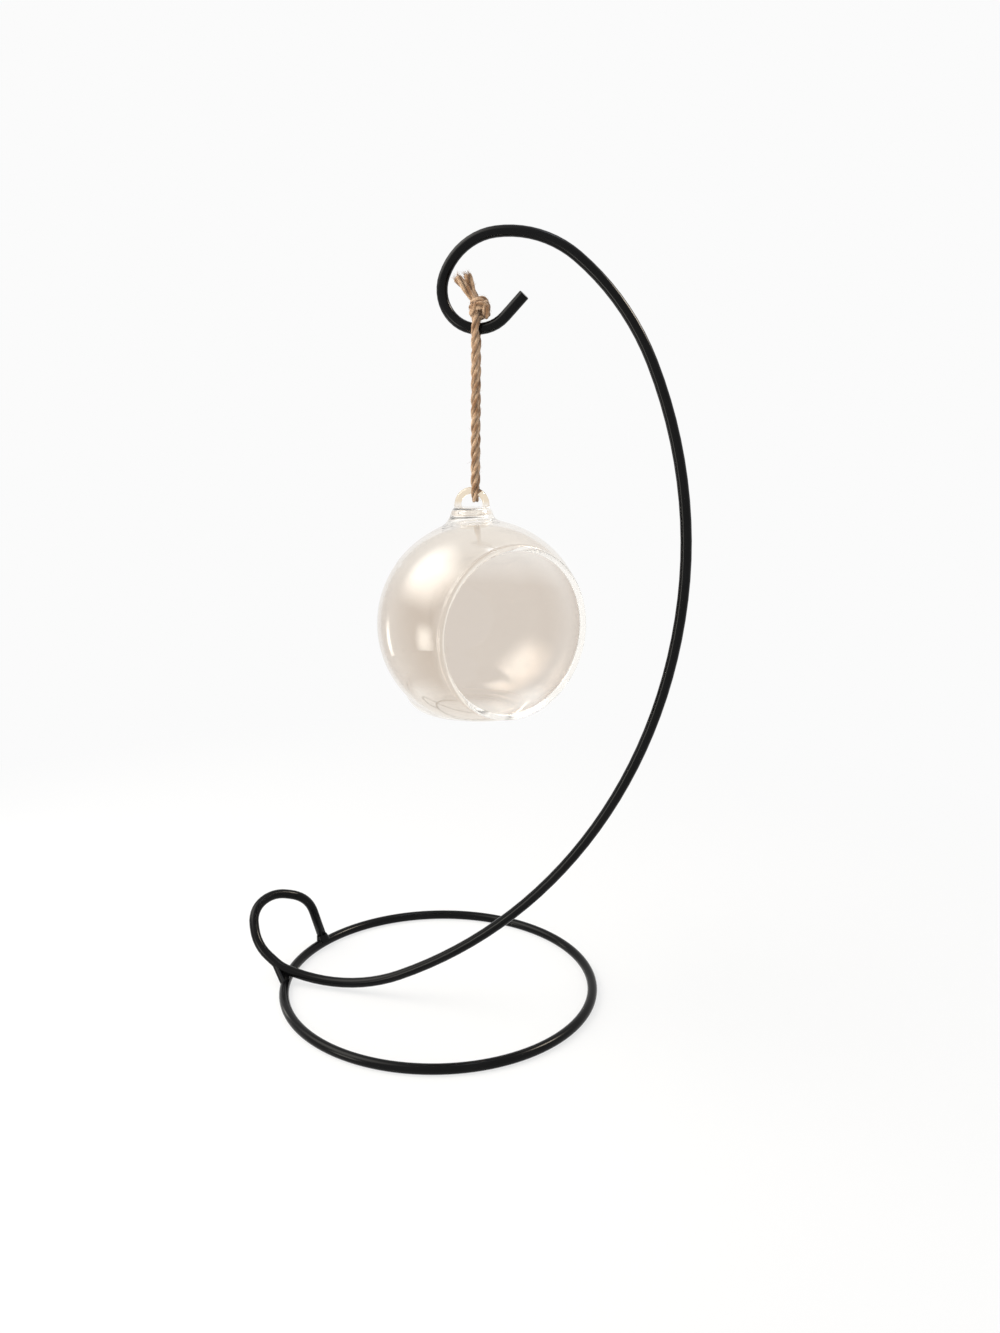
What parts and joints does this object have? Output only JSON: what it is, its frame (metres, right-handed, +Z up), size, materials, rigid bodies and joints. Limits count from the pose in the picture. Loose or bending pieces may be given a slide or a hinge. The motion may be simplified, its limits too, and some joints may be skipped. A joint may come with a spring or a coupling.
{
  "type": "hanging glass globe tealight holder",
  "caption": "Clear glass globe with a round front opening for a tealight, hung by a twine loop from the hook of a bent black wire stand on a ring foot.",
  "frame": {"origin": "centre of the foot ring, on the table", "axes": "+Z up; +X along the plane of the bent arm towards its bulge; -Y the side that the globe's mouth faces"},
  "size_m": [0.1904, 0.139, 0.3131],
  "materials": {
    "black_powder_coat": "satin black powder coat on steel rod",
    "jute_twine": "natural twisted jute",
    "clear_glass": "clear blown glass with a fire-polished rim"
  },
  "bodies": {
    "stand": {"base_ring": "black_powder_coat", "stand_arm": "black_powder_coat", "weld_front": "black_powder_coat", "weld_rear": "black_powder_coat"},
    "twine": {"twine_loop": "jute_twine", "twine_knot": "jute_twine", "twine_tails": "jute_twine"},
    "globe": {"glass_globe": "clear_glass"}
  },
  "joints": [
    {"name": "twine_swing", "type": "hinge", "parent": "stand", "child": "twine", "pos_m": [0.01964, -0.0154, 0.27709], "axis": [1, 0, 0], "range_deg": [-45, 45]},
    {"name": "globe_swing", "type": "hinge", "parent": "twine", "child": "globe", "pos_m": [0.01964, -0.0154, 0.21769], "axis": [0.9848, 0.1736, 0], "range_deg": [-30, 30]}
  ]
}
